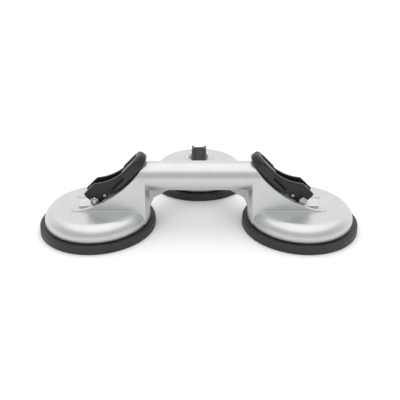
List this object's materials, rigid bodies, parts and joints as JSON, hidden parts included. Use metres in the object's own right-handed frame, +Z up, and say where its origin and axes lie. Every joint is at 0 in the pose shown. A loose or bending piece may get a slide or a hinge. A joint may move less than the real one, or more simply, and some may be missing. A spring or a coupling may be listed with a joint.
{
  "type": "suction lifter",
  "caption": "Triple suction lifter for glass and tiles: round handle on a cast frame, rubber cups, and flip levers that pull each pad's centre up.",
  "frame": {"origin": "on the ground under the middle of the lifter's outline", "axes": "+X along the handle to the right cup, +Y from the handle to the rear cup, +Z up"},
  "size_m": [0.3312, 0.2304, 0.0804],
  "materials": {
    "cast_aluminium": "satin silver paint on a casting",
    "pad_rubber": "matte black rubber",
    "plain_steel": "plain zinc-plated sheet",
    "black_steel": "black powder coat",
    "black_plastic": "black moulded plastic, semi-matte",
    "bright_steel": "bright zinc"
  },
  "bodies": {
    "body": {"body_casting": "cast_aluminium", "left_suction_pad": "pad_rubber", "left_bearing_plate": "plain_steel", "right_suction_pad": "pad_rubber", "right_bearing_plate": "plain_steel", "rear_suction_pad": "pad_rubber", "rear_bearing_plate": "plain_steel"},
    "left_stud": {"left_pull_stud": "plain_steel", "left_pad_plate": "plain_steel"},
    "left_lever": {"left_lever_arm": "black_steel", "left_lever_grip": "black_plastic", "left_pivot_bolt": "bright_steel", "left_lock_nut": "bright_steel", "left_washers": "bright_steel", "left_cross_pin": "bright_steel"},
    "right_stud": {"right_pull_stud": "plain_steel", "right_pad_plate": "plain_steel"},
    "right_lever": {"right_lever_arm": "black_steel", "right_lever_grip": "black_plastic", "right_pivot_bolt": "bright_steel", "right_lock_nut": "bright_steel", "right_washers": "bright_steel", "right_cross_pin": "bright_steel"},
    "rear_stud": {"rear_pull_stud": "plain_steel", "rear_pad_plate": "plain_steel"},
    "rear_lever": {"rear_lever_arm": "black_steel", "rear_lever_grip": "black_plastic", "rear_pivot_bolt": "bright_steel", "rear_lock_nut": "bright_steel", "rear_washers": "bright_steel", "rear_cross_pin": "bright_steel"}
  },
  "joints": [
    {"name": "left_stud_lift", "type": "slide", "parent": "body", "child": "left_stud", "axis": [0, 0, 1], "range_m": [0, 0.00701], "deforming": ["left_suction_pad"]},
    {"name": "left_lever_turn", "type": "hinge", "parent": "left_stud", "child": "left_lever", "pos_m": [-0.1056, -0.0552, 0.032], "axis": [0, -1, 0], "range_deg": [0, 120]},
    {"name": "right_stud_lift", "type": "slide", "parent": "body", "child": "right_stud", "axis": [0, 0, 1], "range_m": [0, 0.00701], "deforming": ["right_suction_pad"]},
    {"name": "right_lever_turn", "type": "hinge", "parent": "right_stud", "child": "right_lever", "pos_m": [0.1056, -0.0552, 0.032], "axis": [0, 1, 0], "range_deg": [0, 120]},
    {"name": "rear_stud_lift", "type": "slide", "parent": "body", "child": "rear_stud", "axis": [0, 0, 1], "range_m": [0, 0.00701], "deforming": ["rear_suction_pad"]},
    {"name": "rear_lever_turn", "type": "hinge", "parent": "rear_stud", "child": "rear_lever", "pos_m": [0, 0.0552, 0.032], "axis": [-1, 0, 0], "range_deg": [0, 158]}
  ],
  "couplings": [
    {"joint": "left_stud_lift", "follows": "left_lever_turn", "m_per_rad": 0.0033423},
    {"joint": "right_stud_lift", "follows": "right_lever_turn", "m_per_rad": 0.0033423},
    {"joint": "rear_stud_lift", "follows": "rear_lever_turn", "m_per_rad": 0.0025384}
  ]
}
